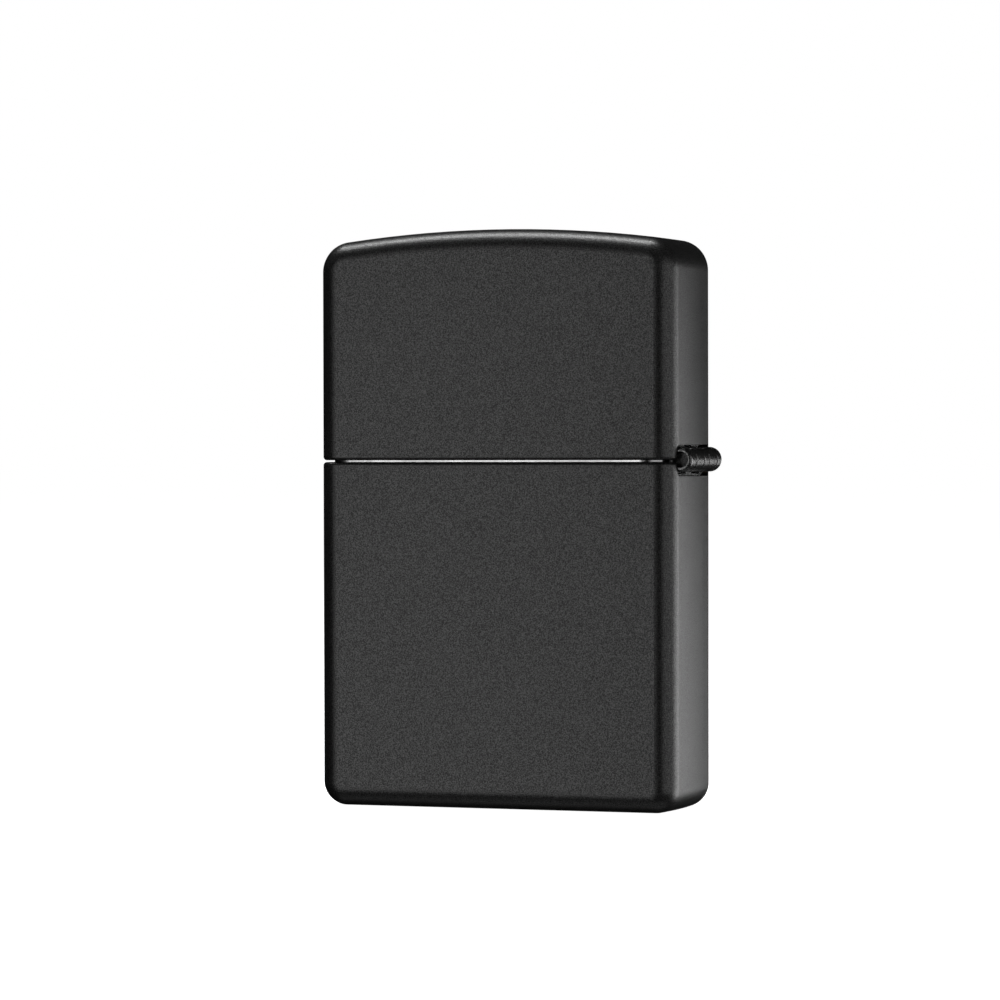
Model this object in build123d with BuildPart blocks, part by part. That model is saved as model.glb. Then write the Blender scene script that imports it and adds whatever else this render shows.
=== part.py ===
from build123d import *

import os
from math import cos, pi, radians, sin, sqrt, tan

# A flip-top pocket lighter, closed, standing on its base.
#
# A drawn case and a drawn lid with a gently arched top are joined by a five-knuckle hinge on the
# +X side. An insert slides into the case from above: a fuel tank open at the bottom, a perforated
# chimney on its deck, a toothed wheel over the flint tube on the -X side, and a sprung cam by the
# hinge. Cotton packing, a wick, a flint on its spring and a felt pad fill the tank.
#
# Frame: millimetres, +Z up, the origin at the middle of the case's base. X runs along the width,
# with the hinge at +X, and Y runs through the depth.

# ---------------------------------------------------------------- driving dimensions
height = 56.8
width = 37.52           # across the crowns of the narrow sides, without the hinge
depth = 12.7
wall = 0.6
side_radius = 46.0      # the narrow sides bulge slightly
face_round = 2.0        # rounding between the broad faces and the narrow ones
bottom_corner = 2.4     # corners of the outline at the base
top_corner = 3.0        # corners of the outline under the arch
arch_drop = 1.4         # fall of the top arch from its crown to the side planes
part_line = 34.12       # height of the split between case and lid
part_gap = 0.18
rim_round = 0.35
rim_break = 0.12        # small radius on the inner edge of both rims

leaf_thickness = 0.42
barrel_radius = 1.21
pin_radius = 0.8
pin_clearance = 0.04    # radial, between the pin and the lid's knuckles
pin_recess = 0.65       # how far the pin stops short of the barrel's ends
pin_round = 0.15
pin_height = 34.25
knuckle_widths = [1.7, 2.35, 1.6, 2.45, 1.45]     # from -Y to +Y, case and lid in turn
knuckle_gap = 0.22
knuckle_round = 0.12
end_round = 0.3         # on the outer ends of the barrel
roll_seam = 0.07        # slit where a rolled knuckle ends beside its own neck
leaf_height = 8.0       # of each leaf, from the pin's axis
leaf_width = 8.6        # narrower than the barrel, to clear the walls' rounded corners
leaf_corner = 1.0
notch_above = 1.58      # notch in the walls for the barrel, from the split
notch_below = 1.5
notch_slack = 0.14      # at each end of the barrel
notch_corner = 0.45

slip = 0.17             # play between the insert and the case
sheet = 0.4             # sheet thickness of the insert
tank_bottom = 1.8
deck_top = 36.4
tank_corner = 2.4
deck_round = 0.5
chimney_left = -7.8
chimney_right = 10.5
chimney_top = 52.3
chimney_corner = 2.2
chimney_inset = 0.15    # of the chimney's broad faces behind the tank's
vent_radius = 1.05
vent_spacing = 3.9
vent_rows = [(4.3, 3), (7.7, 2), (11.1, 3)]     # height over the deck and count of each row

wheel_x = -12.7
wheel_z = 41.2
wheel_radius = 3.9
wheel_width = 5.4
wheel_teeth = 40
tooth_depth = 0.3
wheel_hub = 1.9
wheel_recess = 0.25
wheel_rivet_head = 1.35
rivet_radius = 0.75
rivet_clearance = 0.03
rivet_head = 0.4        # height of a rivet's head
head_dome = 0.28
ear_radius = 2.2
ear_top = 46.6
ear_play = 0.15         # between the wheel or the cam and each ear

cam_x = 13.3
cam_z = 39.0
cam_width = 3.8
cam_hub = 1.75
nose_x = 16.45          # centre of the cam's nose, at rest
nose_z = 40.9
nose_radius = 0.85
lobe_x = 12.3           # centre of the lobe that the leaf spring lifts
lobe_z = 36.1
lobe_radius = 0.95
cam_break = 0.12
cam_rivet_head = 1.15
cam_window_top = 42.6
cam_slot_left = 10.95
cam_slot_right = 14.7
touch_gap = 0.02        # between each spring and what it presses on
spring_strip = 0.3
spring_width = 3.4
spring_rivet_x = 6.6
spring_rivet_head = 1.25

tube_radius = 1.95
tube_bore = 1.42
tube_bottom = 3.2
tube_collar = 0.35
tube_break = 0.1
flint_radius = 1.25
flint_bottom = 32.2
flint_gap = 0.04
plunger_bottom = 29.9
stem_radius = 0.55
stem_length = 2.6
plunger_taper = 0.8
plunger_tip = 0.75
coil_radius = 0.95
wire_radius = 0.2
coil_pitch = 0.9
screw_head = 2.5
screw_bottom = 2.0
screw_break = 0.2
screw_thread = 1.38
screw_top = 8.4
screw_pip = 1.8         # the peg that centres the spring
screw_slot = 0.6

felt_bottom = 2.0
felt_top = 4.5
felt_hole = 2.75
felt_gap = 0.05
flap_x = 9.0
flap_slit = 0.3
flap_length = 6.2
wick_x = 1.2
wick_radius = 1.4
wick_top = 50.4
soft_gap = 0.15         # between the soft fillings and what they lie against
wick_space = 2.05       # from the wick's middle to the wads beside it
wad_round = 2.6

# ---------------------------------------------------------------- places worked out from them
arch_radius = ((width / 2) ** 2 + arch_drop**2) / (2 * arch_drop)
inner_side_radius = side_radius - wall
side_drop = inner_side_radius - sqrt(inner_side_radius**2 - (leaf_width / 2) ** 2)
leaf_face = width / 2 - wall - side_drop - leaf_thickness       # the leaves' inner face
pin_x = leaf_face + barrel_radius
barrel_length = sum(knuckle_widths)
tank_left = -(width / 2 - wall - side_drop - slip)
tank_right = leaf_face - slip
tank_depth = depth - 2 * (wall + slip)
tank_middle = (tank_left + tank_right) / 2
tank_length = tank_right - tank_left
deck_under = deck_top - sheet
packed_top = deck_under - 1.9
chimney_middle = (chimney_left + chimney_right) / 2
chimney_length = chimney_right - chimney_left
chimney_depth = tank_depth - 2 * chimney_inset
wheel_ear = wheel_width / 2 + ear_play              # inner face of each of the wheel's ears
cam_ear = cam_width / 2 + ear_play


def envelope(inset):
    """The closed lighter's outer form, shrunk by inset on every side."""
    half_x = width / 2 - inset
    half_y = depth / 2 - inset
    bulge = side_radius - inset
    end_x = width / 2 - side_radius + sqrt(bulge**2 - half_y**2)
    shoulder = height - arch_radius + sqrt((arch_radius - inset) ** 2 - half_x**2)
    with BuildPart() as form:
        with BuildSketch(Plane.XY.offset(inset)):
            with BuildLine():
                Line((-end_x, -half_y), (end_x, -half_y))
                ThreePointArc((end_x, -half_y), (half_x, 0), (end_x, half_y))
                Line((end_x, half_y), (-end_x, half_y))
                ThreePointArc((-end_x, half_y), (-half_x, 0), (-end_x, -half_y))
            make_face()
        extrude(amount=height)
        with BuildSketch(Plane.XZ):
            with BuildLine():
                Polyline((-half_x, shoulder), (-half_x, 0), (half_x, 0), (half_x, shoulder))
                ThreePointArc((half_x, shoulder), (0, height - inset), (-half_x, shoulder))
            make_face()
        extrude(amount=depth, both=True, mode=Mode.INTERSECT)
        for face, radius in (
            (form.faces().sort_by(Axis.Z)[0], bottom_corner),
            (form.faces().sort_by(Axis.Z)[-1], top_corner),
        ):
            side_edges = face.edges().sort_by(Axis.X)
            fillet([side_edges[0], side_edges[-1]], radius=radius - inset)
        fillet(form.faces().filter_by(Axis.Y).edges(), radius=face_round - inset)
    return form.part


def knuckle_spans(first):
    """The (low, high) stretch along Y of every second knuckle, from the given one."""
    spans = []
    low = -barrel_length / 2
    for i, knuckle in enumerate(knuckle_widths):
        low_gap = 0 if i == 0 else knuckle_gap / 2
        high_gap = 0 if i == len(knuckle_widths) - 1 else knuckle_gap / 2
        spans.append((low + low_gap, low + knuckle - high_gap))
        low += knuckle
    return spans[first::2]


def hinge_leaf(up, first, bore):
    """A leaf on the inside of the wall, rolled round the pin into its knuckles."""
    neck = barrel_radius + 0.2
    seam_x = leaf_face + leaf_thickness + roll_seam / 2
    with BuildPart() as leaf:
        with BuildSketch(Plane.YZ.offset(leaf_face)) as plate:
            with Locations((0, pin_height + up * (neck + leaf_height) / 2)):
                Rectangle(leaf_width, leaf_height - neck)
            far_corners = plate.vertices().sort_by(Axis((0, 0, 0), (0, up, 0)))[-2:]
            fillet(far_corners, radius=leaf_corner)
        extrude(amount=leaf_thickness)
        for low, high in knuckle_spans(first):
            with BuildSketch(Plane.XZ.offset(-high)):
                with Locations((pin_x, pin_height)):
                    Circle(barrel_radius)
                with Locations((leaf_face + leaf_thickness / 2, pin_height + up * neck / 2)):
                    Rectangle(leaf_thickness, neck)
                with Locations((pin_x, pin_height)):
                    Circle(bore, mode=Mode.SUBTRACT)
                with Locations((seam_x, pin_height + up * barrel_radius / 2)):
                    Rectangle(roll_seam, barrel_radius, mode=Mode.SUBTRACT)
            extrude(amount=high - low)
        arcs = leaf.edges().filter_by(GeomType.CIRCLE)
        rims = arcs.filter_by(lambda arc: abs(arc.radius - barrel_radius) < touch_gap)
        outer_rims = rims.filter_by(lambda arc: abs(arc.center().Y) > barrel_length / 2 - touch_gap)
        fillet(rims - outer_rims, radius=knuckle_round)
        if outer_rims:
            fillet(outer_rims, radius=end_round)
    return leaf.part


def rivet(x, z, half_grip, head_radius):
    """A rivet along Y: a shank with a domed head at each end."""
    with BuildPart() as body:
        with BuildSketch(Plane.XZ):
            with Locations((x, z)):
                Circle(rivet_radius)
        extrude(amount=half_grip, both=True)
        for side in (-1, 1):
            with BuildSketch(Plane.XZ.offset(side * half_grip)):
                with Locations((x, z)):
                    Circle(head_radius)
            extrude(amount=side * rivet_head)
        ends = body.faces().filter_by(Axis.Y).sort_by(Axis.Y)
        fillet([ends[0].edges()[0], ends[-1].edges()[0]], radius=head_dome)
    return body.part


def ears(wall_x, x, z, radius, inner_face, top):
    """Two ears folded out of the chimney's end wall, on both sides of a wheel or a cam."""
    with BuildPart() as pair:
        with BuildSketch(Plane.XZ.offset(inner_face)):
            with Locations((x, z)):
                Circle(radius)
            with Locations((wall_x, (deck_top + top) / 2)):
                Rectangle(sheet, top - deck_top)
            make_hull()
        extrude(amount=sheet)
        mirror(about=Plane.XZ)
    return pair.part


def link(start, start_radius, end, end_radius):
    """The outline of a flat bar with two round ends."""
    with BuildSketch(Plane.XZ) as bar:
        with Locations(start):
            Circle(start_radius)
        with Locations(end):
            Circle(end_radius)
        make_hull()
    return bar.sketch


os.makedirs("parts", exist_ok=True)

# ---------------------------------------------------------------- outer skin
outer_form = envelope(0)
inner_form = envelope(wall)

notch_tall = notch_above + notch_below
with BuildPart() as hinge_notch:
    with BuildSketch(Plane.YZ.offset(width / 2 - 2 * wall)):
        with Locations((0, part_line - notch_below + notch_tall / 2)):
            RectangleRounded(barrel_length + 2 * notch_slack, notch_tall, notch_corner)
    extrude(amount=4 * wall)

with BuildPart() as case_shell:
    add(outer_form)
    split(bisect_by=Plane.XY.offset(part_line - part_gap / 2), keep=Keep.BOTTOM)
    fillet(case_shell.faces().sort_by(Axis.Z)[-1].edges(), radius=rim_round)
    add(inner_form, mode=Mode.SUBTRACT)
    case_rim = case_shell.faces().sort_by(Axis.Z)[-1]
    fillet(case_rim.inner_wires()[0].edges(), radius=rim_break)
    add(hinge_notch.part, mode=Mode.SUBTRACT)
case_shell.part.label = "case_shell"
export_step(case_shell.part, "parts/case_shell.step")

with BuildPart() as lid_shell:
    add(outer_form)
    split(bisect_by=Plane.XY.offset(part_line + part_gap / 2), keep=Keep.TOP)
    fillet(lid_shell.faces().sort_by(Axis.Z)[0].edges(), radius=rim_round)
    add(inner_form, mode=Mode.SUBTRACT)
    lid_rim = lid_shell.faces().sort_by(Axis.Z)[0]
    fillet(lid_rim.inner_wires()[0].edges(), radius=rim_break)
    add(hinge_notch.part, mode=Mode.SUBTRACT)
lid_shell.part.label = "lid_shell"
export_step(lid_shell.part, "parts/lid_shell.step")

# ---------------------------------------------------------------- hinge
case_leaf_form = hinge_leaf(-1, 0, pin_radius)
with BuildPart() as case_hinge_leaf:
    add(case_leaf_form)
case_hinge_leaf.part.label = "case_hinge_leaf"
export_step(case_hinge_leaf.part, "parts/case_hinge_leaf.step")

lid_leaf_form = hinge_leaf(1, 1, pin_radius + pin_clearance)
with BuildPart() as lid_hinge_leaf:
    add(lid_leaf_form)
lid_hinge_leaf.part.label = "lid_hinge_leaf"
export_step(lid_hinge_leaf.part, "parts/lid_hinge_leaf.step")

with BuildPart() as hinge_pin:
    with BuildSketch(Plane.XZ):
        with Locations((pin_x, pin_height)):
            Circle(pin_radius)
    extrude(amount=barrel_length / 2 - pin_recess, both=True)
    fillet(hinge_pin.edges().filter_by(GeomType.CIRCLE), radius=pin_round)
hinge_pin.part.label = "hinge_pin"
export_step(hinge_pin.part, "parts/hinge_pin.step")

# ---------------------------------------------------------------- insert
# A drawn box, open at the bottom, its deck pierced for the wick, the flint tube and the cam.
with BuildPart() as fuel_tank:
    with BuildSketch(Plane.XY.offset(tank_bottom)):
        with Locations((tank_middle, 0)):
            RectangleRounded(tank_length, tank_depth, tank_corner)
    extrude(amount=deck_top - tank_bottom)
    fillet(fuel_tank.faces().sort_by(Axis.Z)[-1].edges(), radius=deck_round)
    with BuildSketch(Plane.XY.offset(tank_bottom)):
        with Locations((tank_middle, 0)):
            RectangleRounded(
                tank_length - 2 * sheet, tank_depth - 2 * sheet, tank_corner - sheet
            )
    extrude(amount=deck_under - tank_bottom, mode=Mode.SUBTRACT)
    with BuildSketch(Plane.XY.offset(deck_under)):
        with Locations((wick_x, 0)):
            Circle(wick_radius + soft_gap)
        with Locations((wheel_x, 0)):
            Circle(tube_radius)
        with Locations((spring_rivet_x, 0)):
            Circle(rivet_radius)
        with Locations(((cam_slot_left + cam_slot_right) / 2, 0)):
            RectangleRounded(cam_slot_right - cam_slot_left, cam_width + 4 * ear_play, 0.4)
    extrude(amount=sheet, mode=Mode.SUBTRACT)
fuel_tank.part.label = "fuel_tank"
export_step(fuel_tank.part, "parts/fuel_tank.step")

# The perforated wind guard on the deck, with ears for the wheel and for the cam.
wheel_ears = ears(chimney_left + sheet / 2, wheel_x, wheel_z, ear_radius, wheel_ear, ear_top)
cam_ears = ears(chimney_right - sheet / 2, cam_x, cam_z, cam_hub, cam_ear, cam_window_top)
with BuildPart() as chimney:
    with BuildSketch(Plane.XY.offset(deck_top)):
        with Locations((chimney_middle, 0)):
            RectangleRounded(chimney_length, chimney_depth, chimney_corner)
            RectangleRounded(
                chimney_length - 2 * sheet,
                chimney_depth - 2 * sheet,
                chimney_corner - sheet,
                mode=Mode.SUBTRACT,
            )
    extrude(amount=chimney_top - deck_top)
    fillet(chimney.faces().sort_by(Axis.Z)[-1].outer_wire().edges(), radius=rim_break)
    with BuildSketch(Plane.XZ):
        for rise, count in vent_rows:
            with Locations((chimney_middle, deck_top + rise)):
                with GridLocations(vent_spacing, 1, count, 1):
                    Circle(vent_radius)
    extrude(amount=depth, both=True, mode=Mode.SUBTRACT)
    for end_x, half_gap, window_top in (
        (chimney_left, wheel_ear, ear_top),
        (chimney_right, cam_ear, cam_window_top),
    ):
        with BuildSketch(Plane.YZ.offset(end_x - 2 * sheet)):
            with Locations((0, (deck_top + window_top) / 2)):
                Rectangle(2 * half_gap, window_top - deck_top)
        extrude(amount=4 * sheet, mode=Mode.SUBTRACT)
    add(wheel_ears)
    add(cam_ears)
    with BuildSketch(Plane.XZ):
        with Locations((wheel_x, wheel_z), (cam_x, cam_z)):
            Circle(rivet_radius)
    extrude(amount=depth, both=True, mode=Mode.SUBTRACT)
chimney.part.label = "chimney"
export_step(chimney.part, "parts/chimney.step")

# ---------------------------------------------------------------- spark wheel
half_step = pi / wheel_teeth
tooth_points = []
for i in range(2 * wheel_teeth):
    reach = wheel_radius - tooth_depth * (i % 2)
    tooth_points.append((wheel_x + reach * cos(i * half_step), wheel_z + reach * sin(i * half_step)))

with BuildPart() as spark_wheel:
    with BuildSketch(Plane.XZ):
        with BuildLine():
            Polyline(*tooth_points, close=True)
        make_face()
        with Locations((wheel_x, wheel_z)):
            Circle(rivet_radius + rivet_clearance, mode=Mode.SUBTRACT)
    extrude(amount=wheel_width / 2, both=True)
    for side in (-1, 1):
        with BuildSketch(Plane.XZ.offset(side * wheel_width / 2)):
            with Locations((wheel_x, wheel_z)):
                Circle(wheel_radius - 3 * tooth_depth)
                Circle(wheel_hub, mode=Mode.SUBTRACT)
        extrude(amount=-side * wheel_recess, mode=Mode.SUBTRACT)
spark_wheel.part.label = "spark_wheel"
export_step(spark_wheel.part, "parts/spark_wheel.step")

wheel_rivet_form = rivet(wheel_x, wheel_z, wheel_ear + sheet, wheel_rivet_head)
with BuildPart() as wheel_rivet:
    add(wheel_rivet_form)
wheel_rivet.part.label = "wheel_rivet"
export_step(wheel_rivet.part, "parts/wheel_rivet.step")

# ---------------------------------------------------------------- cam by the hinge
nose_link = link((cam_x, cam_z), cam_hub, (nose_x, nose_z), nose_radius)
lobe_link = link((cam_x, cam_z), cam_hub, (lobe_x, lobe_z), lobe_radius)
with BuildPart() as cam:
    with BuildSketch(Plane.XZ):
        add(Plane.XZ.to_local_coords(nose_link))
        add(Plane.XZ.to_local_coords(lobe_link))
        with Locations((cam_x, cam_z)):
            Circle(rivet_radius + rivet_clearance, mode=Mode.SUBTRACT)
    extrude(amount=cam_width / 2, both=True)
    for face in cam.faces().filter_by(Axis.Y):
        chamfer(face.outer_wire().edges(), length=cam_break)
cam.part.label = "cam"
export_step(cam.part, "parts/cam.step")

cam_rivet_form = rivet(cam_x, cam_z, cam_ear + sheet, cam_rivet_head)
with BuildPart() as cam_rivet:
    add(cam_rivet_form)
cam_rivet.part.label = "cam_rivet"
export_step(cam_rivet.part, "parts/cam_rivet.step")

# A strip riveted under the deck and cranked down to lie under the cam's lobe.
lobe_seat = lobe_z - lobe_radius - touch_gap
with BuildPart() as cam_spring:
    with BuildSketch(Plane.XZ):
        with BuildLine() as strip_top:
            FilletPolyline(
                (spring_rivet_x - 1.7, deck_under),
                (spring_rivet_x + 1.7, deck_under),
                (lobe_x - 1.4, lobe_seat),
                (lobe_x + 1.9, lobe_seat),
                radius=2.0,
            )
            offset(amount=-spring_strip, side=Side.RIGHT)
        make_face()
    extrude(amount=spring_width / 2, both=True)
    with BuildSketch(Plane.XY.offset(deck_under)):
        with Locations((spring_rivet_x, 0)):
            Circle(rivet_radius)
    extrude(amount=-2 * spring_strip, mode=Mode.SUBTRACT)
cam_spring.part.label = "cam_spring"
export_step(cam_spring.part, "parts/cam_spring.step")

with BuildPart() as cam_spring_rivet:
    with BuildSketch(Plane.XY.offset(deck_under - spring_strip)):
        with Locations((spring_rivet_x, 0)):
            Circle(rivet_radius)
    extrude(amount=sheet + spring_strip)
    for base, rise in ((deck_top, rivet_head), (deck_under - spring_strip, -rivet_head)):
        with BuildSketch(Plane.XY.offset(base)):
            with Locations((spring_rivet_x, 0)):
                Circle(spring_rivet_head)
        extrude(amount=rise)
    spring_rivet_ends = cam_spring_rivet.faces().filter_by(Axis.Z).sort_by(Axis.Z)
    fillet([spring_rivet_ends[0].edges()[0], spring_rivet_ends[-1].edges()[0]], radius=head_dome)
cam_spring_rivet.part.label = "cam_spring_rivet"
export_step(cam_spring_rivet.part, "parts/cam_spring_rivet.step")

# ---------------------------------------------------------------- flint and its feed
with BuildPart() as flint_tube:
    with BuildSketch(Plane.XY.offset(tube_bottom)):
        with Locations((wheel_x, 0)):
            Circle(tube_radius)
    extrude(amount=deck_top + tube_collar - tube_bottom)
    with BuildSketch(Plane.XY.offset(deck_top)):
        with Locations((wheel_x, 0)):
            Circle(tube_radius + tube_collar)
    extrude(amount=tube_collar)
    with BuildSketch(Plane.XY.offset(tube_bottom)):
        with Locations((wheel_x, 0)):
            Circle(tube_bore)
    extrude(amount=height, mode=Mode.SUBTRACT)
    chamfer(flint_tube.edges().group_by(Axis.Z)[-1], length=tube_break)
flint_tube.part.label = "flint_tube"
export_step(flint_tube.part, "parts/flint_tube.step")

# The flint's top is worn hollow by the wheel.
with BuildPart() as flint:
    with BuildSketch(Plane.XY.offset(flint_bottom)):
        with Locations((wheel_x, 0)):
            Circle(flint_radius)
    extrude(amount=wheel_z - flint_bottom)
    with BuildSketch(Plane.XZ):
        with Locations((wheel_x, wheel_z)):
            Circle(wheel_radius + flint_gap)
    extrude(amount=depth / 2, both=True, mode=Mode.SUBTRACT)
flint.part.label = "flint"
export_step(flint.part, "parts/flint.step")

# The brass follower between the flint and its spring.
with BuildPart() as flint_plunger:
    with BuildSketch(Plane.XZ):
        with BuildLine():
            Polyline(
                (wheel_x, plunger_bottom - stem_length),
                (wheel_x + stem_radius, plunger_bottom - stem_length),
                (wheel_x + stem_radius, plunger_bottom),
                (wheel_x + flint_radius, plunger_bottom),
                (wheel_x + flint_radius, flint_bottom - plunger_taper),
                (wheel_x + plunger_tip, flint_bottom),
                (wheel_x, flint_bottom),
                close=True,
            )
        make_face()
    revolve(axis=Axis((wheel_x, 0, 0), (0, 0, 1)))
flint_plunger.part.label = "flint_plunger"
export_step(flint_plunger.part, "parts/flint_plunger.step")

coil_low = screw_top + wire_radius + touch_gap
coil_rise = plunger_bottom - wire_radius - touch_gap - coil_low
with BuildPart() as flint_spring:
    with BuildLine() as coil:
        Helix(pitch=coil_pitch, height=coil_rise, radius=coil_radius, center=(wheel_x, 0, coil_low))
    with BuildSketch(Plane(origin=coil.line @ 0, z_dir=coil.line % 0)):
        Circle(wire_radius)
    sweep(path=coil.line, is_frenet=True)
flint_spring.part.label = "flint_spring"
export_step(flint_spring.part, "parts/flint_spring.step")

with BuildPart() as flint_screw:
    with BuildSketch(Plane.XY.offset(screw_bottom)):
        with Locations((wheel_x, 0)):
            Circle(screw_head)
    extrude(amount=tube_bottom - screw_bottom)
    chamfer(flint_screw.edges().group_by(Axis.Z)[0], length=screw_break)
    for top, radius in ((screw_top, screw_thread), (screw_top + screw_pip, stem_radius)):
        with BuildSketch(Plane.XY.offset(tube_bottom)):
            with Locations((wheel_x, 0)):
                Circle(radius)
        extrude(amount=top - tube_bottom)
    with BuildSketch(Plane.XY.offset(screw_bottom)):
        with Locations((wheel_x, 0)):
            Rectangle(2 * screw_head, screw_slot)
    extrude(amount=screw_slot, mode=Mode.SUBTRACT)
flint_screw.part.label = "flint_screw"
export_step(flint_screw.part, "parts/flint_screw.step")

# ---------------------------------------------------------------- soft fillings
# The wick runs down the chimney, through the deck and on between the cotton, slightly slack.
wick_route = [
    Vector(wick_x, 0, wick_top),
    Vector(wick_x + 0.25, 0.1, 43.5),
    Vector(wick_x, 0, 36.6),
    Vector(wick_x - 0.1, 0.3, 29.6),
    Vector(wick_x + 0.3, -0.1, 22.5),
    Vector(wick_x - 0.2, -0.2, 15.2),
    Vector(wick_x, 0.1, 8.4),
]
wick_radii = []
for before, corner, after in zip(wick_route, wick_route[1:], wick_route[2:]):
    run_in = corner - before
    run_out = after - corner
    half_turn = radians(run_in.get_angle(run_out)) / 2
    wick_radii.append(0.45 * min(run_in.length, run_out.length) / tan(half_turn))

with BuildPart() as wick:
    with BuildLine() as wick_line:
        FilletPolyline(*wick_route, radius=wick_radii)
    with BuildSketch(Plane(origin=wick_line.line @ 0, z_dir=wick_line.line % 0)):
        Circle(wick_radius)
    sweep(path=wick_line.line)
wick.part.label = "wick"
export_step(wick.part, "parts/wick.step")

wick_length = sum(edge.length for edge in wick_line.edges())
print("wick bend radii", [round(radius, 1) for radius in wick_radii])
print("wick length", round(wick_length, 2))
print("wick volume over section times length", wick.part.volume / (pi * wick_radius**2 * wick_length))

# Five soft wads fill the tank, two beside the flint tube and three beyond the wick.
wad_depth = tank_depth - 2 * (sheet + soft_gap)
wad_number = 1
for low_x, high_x, count in (
    (wheel_x + tube_radius + soft_gap, wick_x - wick_space, 2),
    (wick_x + wick_space, tank_right - sheet - soft_gap, 3),
):
    wad_height = (packed_top - felt_top) / count
    for i in range(count):
        with BuildPart() as cotton_pad:
            with BuildSketch(Plane.XY.offset(felt_top + i * wad_height + soft_gap)):
                with Locations(((low_x + high_x) / 2, 0)):
                    Rectangle(high_x - low_x, wad_depth)
            extrude(amount=wad_height - soft_gap)
            fillet(cotton_pad.edges(), radius=wad_round)
        cotton_pad.part.label = f"cotton_pad_{wad_number}"
        export_step(cotton_pad.part, f"parts/cotton_pad_{wad_number}.step")
        wad_number += 1

# The felt under them has a hole for the screw and a slit flap for filling.
with BuildPart() as felt_pad:
    with BuildSketch(Plane.XY.offset(felt_bottom)):
        with Locations((tank_middle, 0)):
            RectangleRounded(
                tank_length - 2 * (sheet + felt_gap),
                tank_depth - 2 * (sheet + felt_gap),
                tank_corner - sheet,
            )
        with Locations((wheel_x, 0)):
            Circle(felt_hole, mode=Mode.SUBTRACT)
        with Locations((flap_x, 0)):
            Rectangle(flap_slit, flap_length, mode=Mode.SUBTRACT)
    extrude(amount=felt_top - felt_bottom)
felt_pad.part.label = "felt_pad"
export_step(felt_pad.part, "parts/felt_pad.step")
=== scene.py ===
from math import cos, pi, radians, sin

import bpy
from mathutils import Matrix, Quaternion, Vector, noise


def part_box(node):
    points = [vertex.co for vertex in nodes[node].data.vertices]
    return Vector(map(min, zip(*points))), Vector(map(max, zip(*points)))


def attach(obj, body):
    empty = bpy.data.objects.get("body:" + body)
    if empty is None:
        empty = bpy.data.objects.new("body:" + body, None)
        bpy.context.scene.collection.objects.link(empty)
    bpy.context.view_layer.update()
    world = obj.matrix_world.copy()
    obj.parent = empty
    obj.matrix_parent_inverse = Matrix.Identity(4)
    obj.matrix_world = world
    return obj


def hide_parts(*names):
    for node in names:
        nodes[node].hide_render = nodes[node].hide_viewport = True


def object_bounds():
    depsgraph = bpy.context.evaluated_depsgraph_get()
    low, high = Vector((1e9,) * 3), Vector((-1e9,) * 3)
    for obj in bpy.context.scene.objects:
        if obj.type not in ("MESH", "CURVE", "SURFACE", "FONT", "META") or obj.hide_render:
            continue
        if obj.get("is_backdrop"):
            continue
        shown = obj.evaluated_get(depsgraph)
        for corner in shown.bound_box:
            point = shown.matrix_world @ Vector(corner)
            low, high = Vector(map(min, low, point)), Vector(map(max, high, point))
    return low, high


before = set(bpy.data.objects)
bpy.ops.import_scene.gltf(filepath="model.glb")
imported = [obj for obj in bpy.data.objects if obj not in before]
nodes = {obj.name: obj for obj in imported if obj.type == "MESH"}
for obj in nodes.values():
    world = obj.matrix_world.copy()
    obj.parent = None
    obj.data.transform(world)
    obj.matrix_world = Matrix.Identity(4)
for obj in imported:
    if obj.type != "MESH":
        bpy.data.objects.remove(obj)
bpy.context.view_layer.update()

MM = 0.001

# ---------------------------------------------------------------- shared helpers


def new_material(name):
    """An empty node material and short ways to add and join its nodes."""
    material = bpy.data.materials.new(name)
    material.use_nodes = True
    tree = material.node_tree
    shader = tree.nodes["Principled BSDF"]

    def node(kind):
        return tree.nodes.new(kind)

    def join(source, output, target, socket):
        tree.links.new(source.outputs[output], target.inputs[socket])

    return material, shader, node, join


def coordinates(node, join, scale=(1, 1, 1)):
    """Object coordinates, stretched along the axes."""
    place = node("ShaderNodeTexCoord")
    mapping = node("ShaderNodeMapping")
    mapping.inputs["Scale"].default_value = scale
    join(place, "Object", mapping, "Vector")
    return mapping


def noise_texture(node, join, place, scale, detail=2.0, roughness=0.5):
    """Noise with its scale in turns per metre."""
    texture = node("ShaderNodeTexNoise")
    texture.inputs["Scale"].default_value = scale
    texture.inputs["Detail"].default_value = detail
    texture.inputs["Roughness"].default_value = roughness
    join(place, "Vector", texture, "Vector")
    return texture


def ramp(node, join, source, output, stops):
    """A colour ramp over a texture: stops are (position, colour)."""
    made = node("ShaderNodeValToRGB")
    elements = made.color_ramp.elements
    while len(elements) < len(stops):
        elements.new(0.5)
    for element, (position, colour) in zip(elements, stops):
        element.position = position
        element.color = (*colour, 1)
    join(source, output, made, "Fac")
    return made


def spread(node, join, source, output, low, high):
    """A texture's usual range, 0.3 to 0.7, stretched over low to high."""
    made = node("ShaderNodeMapRange")
    made.inputs["From Min"].default_value = 0.3
    made.inputs["From Max"].default_value = 0.7
    made.inputs["To Min"].default_value = low
    made.inputs["To Max"].default_value = high
    join(source, output, made, "Value")
    return made


def bump(node, join, source, output, shader, strength, distance):
    """Fine relief from a texture, distance in metres."""
    made = node("ShaderNodeBump")
    made.inputs["Strength"].default_value = strength
    made.inputs["Distance"].default_value = distance
    join(source, output, made, "Height")
    join(made, "Normal", shader, "Normal")


def grey(value):
    return (value, value, value)


# ---------------------------------------------------------------- materials


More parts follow.
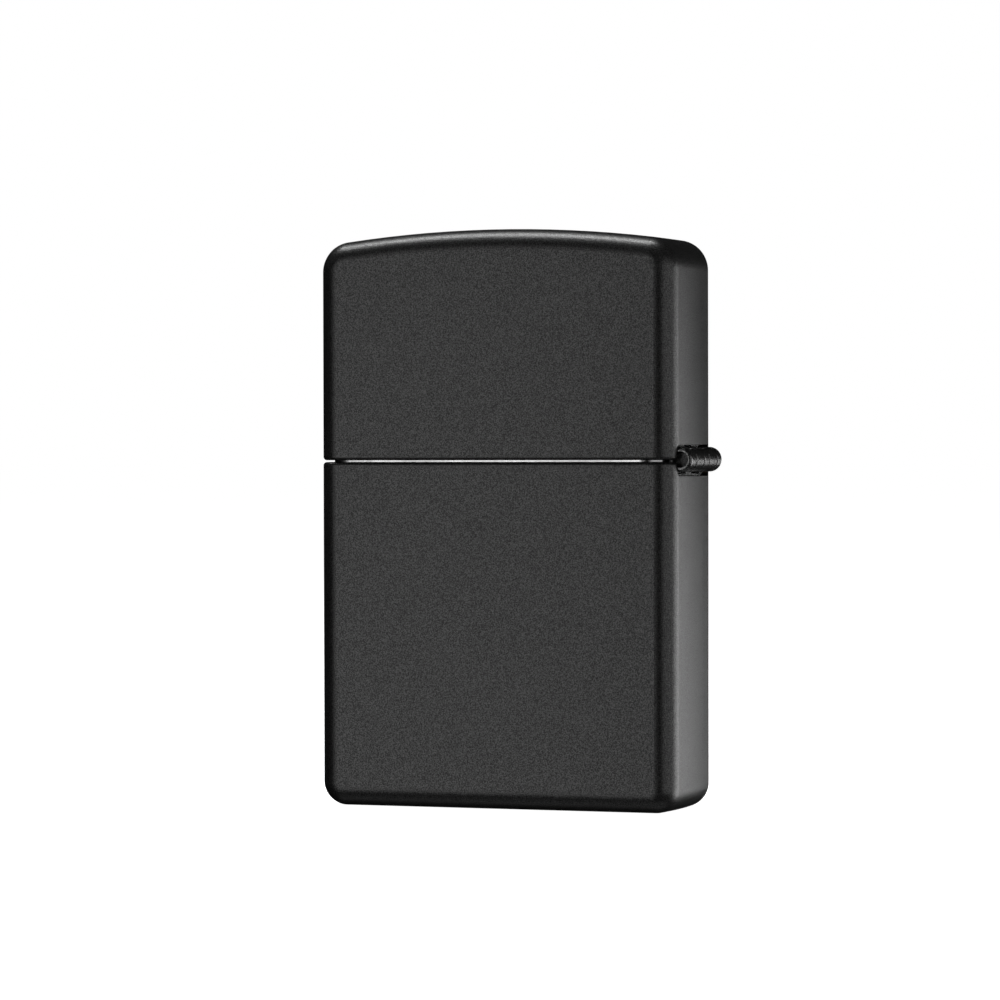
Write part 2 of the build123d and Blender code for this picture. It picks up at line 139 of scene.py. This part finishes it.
def matte_coat(name, dark, light, rough, grain=9500, speckle=0.3, ior=1.5):
    """Matte paint: a fine speckle in colour, in gloss and in height."""
    fleck = tuple(2.1 * c for c in light)
    gloss_range = 0.004
    material, shader, node, join = new_material(name)
    place = coordinates(node, join)
    fine = noise_texture(node, join, place, grain, 1.0)
    colour = ramp(node, join, fine, "Fac", [(0.36, dark), (0.52, light), (0.7, fleck)])
    join(colour, "Color", shader, "Base Color")
    glint = spread(node, join, fine, "Fac", 0.5 - speckle, 0.5 + speckle)
    join(glint, "Result", shader, "Specular IOR Level")
    broad = noise_texture(node, join, place, 260, 4.0)
    gloss = spread(node, join, broad, "Fac", rough - gloss_range, rough + gloss_range)
    join(gloss, "Result", shader, "Roughness")
    bump(node, join, fine, "Fac", shader, 0.5, 0.03 * MM)
    shader.inputs["IOR"].default_value = ior
    return material


def brushed_metal(name, dark, light, rough, along, grain=2600, strength=0.3):
    """Bare metal with fine rubbed lines along one axis: 0, 1 or 2."""
    material, shader, node, join = new_material(name)
    stretch = [1.0, 1.0, 1.0]
    stretch[along] = 0.03
    place = coordinates(node, join, scale=stretch)
    lines = noise_texture(node, join, place, grain, 3.0, 0.6)
    colour = ramp(node, join, lines, "Fac", [(0.3, dark), (0.7, light)])
    join(colour, "Color", shader, "Base Color")
    whole = coordinates(node, join)
    smudge = noise_texture(node, join, whole, 180, 5.0)
    gloss = spread(node, join, smudge, "Fac", rough - 0.05, rough + 0.09)
    join(gloss, "Result", shader, "Roughness")
    bump(node, join, lines, "Fac", shader, strength, 0.008 * MM)
    shader.inputs["Metallic"].default_value = 1.0
    return material


def fibre(name, dark, light, grain=1400, depth=0.12 * MM, sheen=0.4):
    """Soft cotton or felt: tangled threads in colour and height."""
    material, shader, node, join = new_material(name)
    place = coordinates(node, join)
    warp = noise_texture(node, join, place, 420, 3.0)
    tangled = node("ShaderNodeMixRGB")
    tangled.blend_type = "ADD"
    tangled.inputs["Fac"].default_value = 0.002
    join(place, "Vector", tangled, "Color1")
    join(warp, "Color", tangled, "Color2")
    threads = node("ShaderNodeTexNoise")
    threads.inputs["Scale"].default_value = grain
    threads.inputs["Detail"].default_value = 6.0
    threads.inputs["Roughness"].default_value = 0.7
    threads.inputs["Distortion"].default_value = 1.6
    join(tangled, "Color", threads, "Vector")
    colour = ramp(node, join, threads, "Fac", [(0.3, dark), (0.62, light)])
    join(colour, "Color", shader, "Base Color")
    bump(node, join, threads, "Fac", shader, 0.8, depth)
    shader.inputs["Roughness"].default_value = 0.95
    shader.inputs["Sheen Weight"].default_value = sheen
    return material


black_coat = matte_coat("black_coat_paint", grey(0.006), grey(0.0105), 0.34)
hinge_coat = matte_coat("hinge_coat_paint", grey(0.008), grey(0.014), 0.25, grain=7000, ior=1.8)
pin_coat = matte_coat("pin_blackened_steel", grey(0.012), grey(0.022), 0.5, grain=6000)
inner_metal = brushed_metal("inner_satin_brass", (0.50, 0.40, 0.23), (0.66, 0.54, 0.33), 0.34, 2)
insert_steel = brushed_metal("insert_brushed_steel", grey(0.52), (0.70, 0.70, 0.71), 0.27, 2)
wheel_steel = brushed_metal("wheel_hard_steel", grey(0.20), grey(0.36), 0.36, 1)
rivet_steel = brushed_metal("rivet_turned_steel", grey(0.45), grey(0.62), 0.3, 0)
cam_steel = brushed_metal("cam_stamped_steel", grey(0.34), grey(0.50), 0.34, 0)
spring_steel = brushed_metal("spring_drawn_steel", grey(0.30), grey(0.44), 0.32, 0)
brass = brushed_metal("turned_brass", (0.62, 0.44, 0.18), (0.80, 0.60, 0.28), 0.3, 2)
flint_grey = matte_coat("flint_pressed_rod", grey(0.06), grey(0.11), 0.6, grain=5200)
cotton = fibre("cotton_wool", (0.72, 0.70, 0.66), (0.92, 0.91, 0.88))
felt = fibre("pressed_felt", (0.42, 0.42, 0.41), (0.66, 0.66, 0.64), grain=2200, sheen=0.2)
yarn = fibre("wick_yarn", (0.55, 0.50, 0.41), (0.86, 0.82, 0.72), grain=3600, depth=0.05 * MM)
copper = brushed_metal("wick_copper_wire", (0.55, 0.26, 0.15), (0.80, 0.42, 0.27), 0.3, 2)


def dress(name, material):
    """Give a CAD node one material, without touching its shape."""
    nodes[name].data.materials.clear()
    nodes[name].data.materials.append(material)


def line_shell(name):
    """Paint outside and in the notch for the hinge, bare metal inside up to the rims."""
    spine_x, spine_low, spine_high = 12, 8, 48
    notch_x, notch_half, notch_low, notch_high = 18.05, 5.1, 32, 36.4
    mesh = nodes[name].data
    dress(name, black_coat)
    mesh.materials.append(inner_metal)
    for face in mesh.polygons:
        at = face.center / MM
        spine = Vector((max(-spine_x, min(spine_x, at.x)), 0, max(spine_low, min(spine_high, at.z))))
        near_notch = at.x > notch_x and abs(at.y) < notch_half and notch_low < at.z < notch_high
        cut_edge = near_notch and abs(face.normal.x) < 0.7
        if face.normal.dot(at - spine) < -0.3 and not cut_edge:
            face.material_index = 1


PLAIN_COATS = {
    "case_hinge_leaf": hinge_coat,
    "lid_hinge_leaf": hinge_coat,
    "hinge_pin": pin_coat,
    "fuel_tank": insert_steel,
    "chimney": insert_steel,
    "wheel_rivet": rivet_steel,
    "cam": cam_steel,
    "cam_rivet": rivet_steel,
    "cam_spring": spring_steel,
    "cam_spring_rivet": rivet_steel,
    "flint_tube": brass,
    "flint": flint_grey,
    "flint_plunger": brass,
    "flint_spring": spring_steel,
    "flint_screw": brass,
}

line_shell("case_shell")
line_shell("lid_shell")
for node_name, coat in PLAIN_COATS.items():
    dress(node_name, coat)


def add_mesh(name, points, faces, material, smooth=True):
    mesh = bpy.data.meshes.new(name)
    mesh.from_pydata(points, [], faces)
    mesh.validate()
    mesh.update()
    mesh.materials.append(material)
    for face in mesh.polygons:
        face.use_smooth = smooth
    made = bpy.data.objects.new(name, mesh)
    bpy.context.scene.collection.objects.link(made)
    return made


# ---------------------------------------------------------------- spark wheel
def spark_wheel():
    """A hardened wheel whose rim is cut both ways into rows of small slanted teeth."""
    low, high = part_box("spark_wheel")
    axle_x, axle_z = (low.x + high.x) / 2, (low.z + high.z) / 2
    reach = (high.x - low.x) / 2
    half = (high.y - low.y) / 2
    teeth, steps = 44, 8
    around = teeth * steps
    bore, hub, groove = 0.78 * MM, 1.9 * MM, 0.24 * MM
    chamfer, chamfer_drop = 0.22 * MM, 0.14 * MM
    tooth_depth, notch_depth, rim_depth = 0.34 * MM, 0.16 * MM, 0.75 * MM
    lean, cuts, drift = 1.6, 5.5, 0.25
    groove_slope, rim_slope = 0.08 * MM, 0.1 * MM
    spans = 40
    rows = [-half + 2 * half * i / spans for i in range(spans + 1)]
    rings = []

    def ring(radius_at, y):
        turn = 2 * pi / around
        rings.append([
            (axle_x + radius_at(k) * cos(turn * k), y, axle_z + radius_at(k) * sin(turn * k))
            for k in range(around)
        ])

    def rim(y):
        edge = min(1.0, (half - abs(y)) / chamfer)

        def radius_at(k):
            across = (k / steps + lean * y / half) % 1.0
            tooth = min(across / 0.75, (1 - across) / 0.25)
            cut = abs(((cuts * y / half + drift * k / steps) % 1.0) - 0.5) * 2
            notch = max(0.0, 1 - cut / 0.35)
            deep = tooth_depth * (1 - tooth) + notch_depth * notch
            return reach - deep * (0.35 + 0.65 * edge) - chamfer_drop * (1 - edge)

        return radius_at

    side = reach - rim_depth
    face_profile = [
        (bore, 0),
        (hub, 0),
        (hub + groove_slope, groove),
        (side - rim_slope, groove),
        (side, 0),
    ]
    for radius, sunk in face_profile:
        ring(lambda k, r=radius: r, sunk - half)
    for y in rows:
        ring(rim(y), y)
    for radius, sunk in reversed(face_profile):
        ring(lambda k, r=radius: r, half - sunk)
    points = [p for r in rings for p in r]
    faces = []
    for i in range(len(rings)):
        a, b = i * around, ((i + 1) % len(rings)) * around
        for k in range(around):
            n = (k + 1) % around
            faces.append((a + k, a + n, b + n, b + k))
    return add_mesh("spark_wheel_cut", points, faces, wheel_steel, smooth=False)


wheel = spark_wheel()
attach(wheel, "spark_wheel")
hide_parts("spark_wheel")

# ---------------------------------------------------------------- wick
# The same route as the wick's spline in the part, from the tip down, in millimetres.
WICK_ROUTE = [
    (1.2, 0, 50.4), (1.45, 0.1, 43.5), (1.2, 0, 36.6), (1.1, 0.3, 29.6), (1.5, -0.1, 22.5), (1.0, -0.2, 15.2),
    (1.2, 0.1, 8.4),
]


def wick_centreline():
    """Points along one smooth NURBS spline with the wick's route as its control points."""
    curve = bpy.data.curves.new("wick_line", "CURVE")
    curve.dimensions = "3D"
    curve.resolution_u = 24
    spline = curve.splines.new("NURBS")
    spline.points.add(len(WICK_ROUTE) - 1)
    for point, (x, y, z) in zip(spline.points, WICK_ROUTE):
        point.co = (x * MM, y * MM, z * MM, 1)
    spline.order_u = 3
    spline.use_endpoint_u = True
    line = bpy.data.objects.new("wick_line", curve)
    bpy.context.scene.collection.objects.link(line)
    bpy.context.view_layer.update()
    mesh = bpy.data.meshes.new_from_object(line)
    points = [v.co.copy() for v in mesh.vertices]
    bpy.data.objects.remove(line)
    return points


def along(points, step):
    """The same line in even steps, as (point, distance along it)."""
    walked, out, due = 0.0, [], 0.0
    for a, b in zip(points, points[1:]):
        run = (b - a).length
        while due <= walked + run:
            out.append((a.lerp(b, (due - walked) / run), due))
            due += step
        walked += run
    return out


def tube(points, radius_at, sides=7):
    """Rings of vertices round a path, with closed ends: (vertices, faces)."""
    verts, faces = [], []
    for i, p in enumerate(points):
        ahead = points[min(i + 1, len(points) - 1)] - points[max(i - 1, 0)]
        ahead.normalize()
        across = ahead.cross(Vector((0, 1, 0.001))).normalized()
        up = across.cross(ahead).normalized()
        r = radius_at(i)
        for k in range(sides):
            t = 2 * pi * k / sides
            verts.append(p + across * (r * cos(t)) + up * (r * sin(t)))
    for i in range(len(points) - 1):
        for k in range(sides):
            n = (k + 1) % sides
            faces.append((i * sides + k, i * sides + n, (i + 1) * sides + n, (i + 1) * sides + k))
    faces.append(tuple(reversed(range(sides))))
    faces.append(tuple((len(points) - 1) * sides + k for k in range(sides)))
    return verts, faces


def gather(name, tubes, material):
    """One mesh from several tubes."""
    verts, faces = [], []
    for more, shapes in tubes:
        base = len(verts)
        verts += more
        faces += [tuple(base + i for i in f) for f in shapes]
    return add_mesh(name, verts, faces, material)


def braided_wick():
    """Twelve plaited yarns round a core, with four copper wires between them and a frayed tip."""
    line = along(wick_centreline(), 0.16 * MM)
    pitch, plaited, radius = 7.5 * MM, 12, 1.13 * MM
    weave = 0.07 * MM
    yarn_radius, end_radius, core_radius = 0.20 * MM, 0.13 * MM, 1.02 * MM
    wire_count, wire_radius, wire_reach, wire_wave = 4, 0.07 * MM, 1.28 * MM, 0.03 * MM
    wire_pitch, wave_pitch, wire_start = pitch * 1.35, 0.9 * MM, 0.4
    fray_count, fray_reach, fray_lean = 46, 1.2 * MM, 0.12 * MM
    fray_radii = (0.11 * MM, 0.10 * MM, 0.05 * MM)
    golden_angle = pi * (3 - 5 ** 0.5)

    def around(centre, angle, r):
        return centre + Vector((cos(angle), sin(angle), 0)) * r

    yarns, wires = [], []
    for s in range(plaited):
        turn = 1 if s % 2 else -1
        path = []
        for p, d in line:
            wound = 2 * pi * d / pitch
            angle = 2 * pi * s / plaited + turn * wound
            over = sin(plaited / 2 * wound + (pi if turn > 0 else 0) + s * pi / 2)
            path.append(around(p, angle, radius + weave * over))
        yarns.append(tube(path, lambda i: yarn_radius if i > 0 else end_radius, 6))
    core = [p for p, d in line][::3]
    yarns.append(tube(core, lambda i: core_radius, 14))
    for s in range(wire_count):
        path = []
        for p, d in line:
            angle = 2 * pi * s / wire_count + wire_start + 2 * pi * d / wire_pitch
            path.append(around(p, angle, wire_reach + wire_wave * sin(2 * pi * d / wave_pitch)))
        wires.append(tube(path, lambda i: wire_radius, 6))
    for s in range(fray_count):
        angle = s * golden_angle
        top = around(line[0][0], angle, fray_reach * (s / fray_count) ** 0.5)
        lean = Vector((cos(angle * 1.7), sin(angle * 2.3), 0)) * fray_lean * 0.6
        rise = (0.05 + 0.13 * ((s * 7) % 11) / 11) * MM
        path = [
            top - Vector((0, 0, 0.5 * MM)),
            top - Vector((0, 0, 0.1 * MM)),
            top + lean + Vector((0, 0, rise * 0.2 - 0.12 * MM)),
        ]
        yarns.append(tube(path, lambda i: fray_radii[i], 6))
    return gather("wick_braid", yarns, yarn), gather("wick_wires", wires, copper)


braid, wires = braided_wick()
for piece in (braid, wires):
    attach(piece, "case")
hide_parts("wick")


# ---------------------------------------------------------------- cotton and felt
def soft_copy(source, name, material, voxel, shape):
    """A remeshed copy of a plain solid whose points shape() then moves."""
    made = bpy.data.objects.new(name, nodes[source].data.copy())
    bpy.context.scene.collection.objects.link(made)
    remesh = made.modifiers.new("remesh", "REMESH")
    remesh.mode = "VOXEL"
    remesh.voxel_size = voxel
    bpy.context.view_layer.update()
    solid = bpy.data.meshes.new_from_object(made.evaluated_get(bpy.context.evaluated_depsgraph_get()))
    made.modifiers.clear()
    made.data = solid
    normals = [v.normal.copy() for v in solid.vertices]
    for vertex, normal in zip(solid.vertices, normals):
        vertex.co = shape(vertex.co.copy(), normal)
    solid.materials.clear()
    solid.materials.append(material)
    for face in solid.polygons:
        face.use_smooth = True
    solid.update()
    return made


def wad_shape(seed, low, high):
    """Loose wool: lumps, then folds, then threads, never beyond the wad's own box."""
    sunk, least = 0.42, 0.02
    def shape(at, normal):
        p = at / MM
        lumps = noise.noise(p * 0.22 + Vector((seed, 0, 0)))
        folds = abs(noise.noise(p * 0.55 + Vector((0, seed, 3))))
        threads = noise.noise(Vector((p.x * 1.4, p.y * 1.4, p.z * 3.2)) + Vector((0, 0, seed)))
        inward = sunk + 0.45 * lumps + 0.5 * folds + 0.14 * threads
        moved = at - normal * max(least, inward) * MM
        return Vector([min(max(moved[i], low[i]), high[i]) for i in range(3)])
    return shape


for number in range(1, 6):
    source = f"cotton_pad_{number}"
    low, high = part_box(source)
    wad = soft_copy(source, f"cotton_wad_{number}", cotton, 0.42 * MM, wad_shape(3.7 * number, low, high))
    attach(wad, "case")
    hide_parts(source)


def felt_shape(at, normal):
    """A slightly fuzzy face, just inside the plain sheet's."""
    p = at / MM
    fuzz = 0.05 * noise.noise(p * 2.6) + 0.03 * noise.noise(p * 6.0)
    return at - normal * (0.05 + fuzz) * MM


pad = soft_copy("felt_pad", "felt_sheet", felt, 0.22 * MM, felt_shape)
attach(pad, "case")
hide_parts("felt_pad")

# ---------------------------------------------------------------- camera
# Round the object from its front, above level, about the line of sight, and metres away.
AZIMUTH, PITCH, ROLL, DISTANCE = radians(20.37), radians(0.95), radians(-0.115), 0.4429
MIDDLE = Vector((0, 0, 28.4 * MM))
back = Vector((sin(AZIMUTH) * cos(PITCH), -cos(AZIMUTH) * cos(PITCH), sin(PITCH)))
lens = bpy.data.cameras.new("camera")
lens.sensor_width = 36
lens.lens = 161.21
lens.shift_x = -0.01534
lens.shift_y = 0.01866
lens.clip_start = 0.01
lens.clip_end = 20
camera = bpy.data.objects.new("camera", lens)
camera.rotation_mode = "QUATERNION"
camera.location = MIDDLE + back * DISTANCE
camera.rotation_quaternion = (-back).to_track_quat("-Z", "Y") @ Quaternion((0, 0, 1), ROLL)
bpy.context.scene.collection.objects.link(camera)
bpy.context.scene.camera = camera

# ---------------------------------------------------------------- floor and light
def floor_paint():
    """Nearly white and faintly cloudy, and bright by itself, so it stays pale where no light falls."""
    material, shader, node, join = new_material("pale_floor")
    cloudy = noise_texture(node, join, coordinates(node, join), 3.0)
    tone = ramp(node, join, cloudy, "Fac", [(0.3, grey(0.93)), (0.7, grey(0.95))])
    join(tone, "Color", shader, "Base Color")
    shader.inputs["Roughness"].default_value = 0.9
    shader.inputs["Emission Color"].default_value = (1, 1, 1, 1)
    shader.inputs["Emission Strength"].default_value = 1.0
    return material


REACH = 6.0
FLOOR_GAP = 0.02 * MM
corners = [(-REACH, -REACH, 0), (REACH, -REACH, 0), (REACH, REACH, 0), (-REACH, REACH, 0)]
floor = add_mesh("floor", corners, [(0, 1, 2, 3)], floor_paint())
floor.location.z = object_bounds()[0].z - FLOOR_GAP
floor.visible_glossy = False
floor.visible_diffuse = False
floor.visible_shadow = False
floor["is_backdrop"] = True


def soft_box(name, azimuth, elevation, distance, width, height, power, aim=MIDDLE):
    """A rectangular studio light, placed round the object as a camera would be."""
    light = bpy.data.lights.new(name, "AREA")
    light.shape = "RECTANGLE"
    light.size = width
    light.size_y = height
    light.energy = power
    made = bpy.data.objects.new(name, light)
    a, e = radians(azimuth), radians(elevation)
    away = Vector((sin(a) * cos(e), -cos(a) * cos(e), sin(e)))
    made.location = aim + away * distance
    made.rotation_mode = "QUATERNION"
    made.rotation_quaternion = (-away).to_track_quat("-Z", "Y")
    made.visible_camera = False
    bpy.context.scene.collection.objects.link(made)


# Azimuth and elevation in degrees, then distance, width and height in metres and power in watts.
soft_box("front_left", -23, -6, 0.6, 0.24, 0.50, 0.72)
soft_box("overhead", 20, 90, 0.5, 0.40, 0.11, 2.4, aim=MIDDLE - Vector((0.17, 0, 0)))
soft_box("right_back", 124, -12, 0.5, 0.44, 0.28, 1.5)
soft_box("hinge_kick", 160, -8, 0.5, 0.06, 0.12, 0.04)
soft_box("front_right", 62, 0, 0.7, 0.80, 0.5, 1.25)
soft_box("bounce", 20, -78, 0.4, 0.5, 0.3, 0.13)

# The world is white to the camera only; the soft boxes do all the lighting.
world = bpy.data.worlds.new("studio")
world.use_nodes = True
surround = world.node_tree.nodes["Background"]
surround.inputs["Color"].default_value = (1, 1, 1, 1)
surround.inputs["Strength"].default_value = 1.0
for kind in ("diffuse", "glossy", "transmission", "scatter"):
    setattr(world.cycles_visibility, kind, False)
bpy.context.scene.world = world
bpy.context.scene.view_settings.view_transform = "Standard"

low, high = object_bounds()
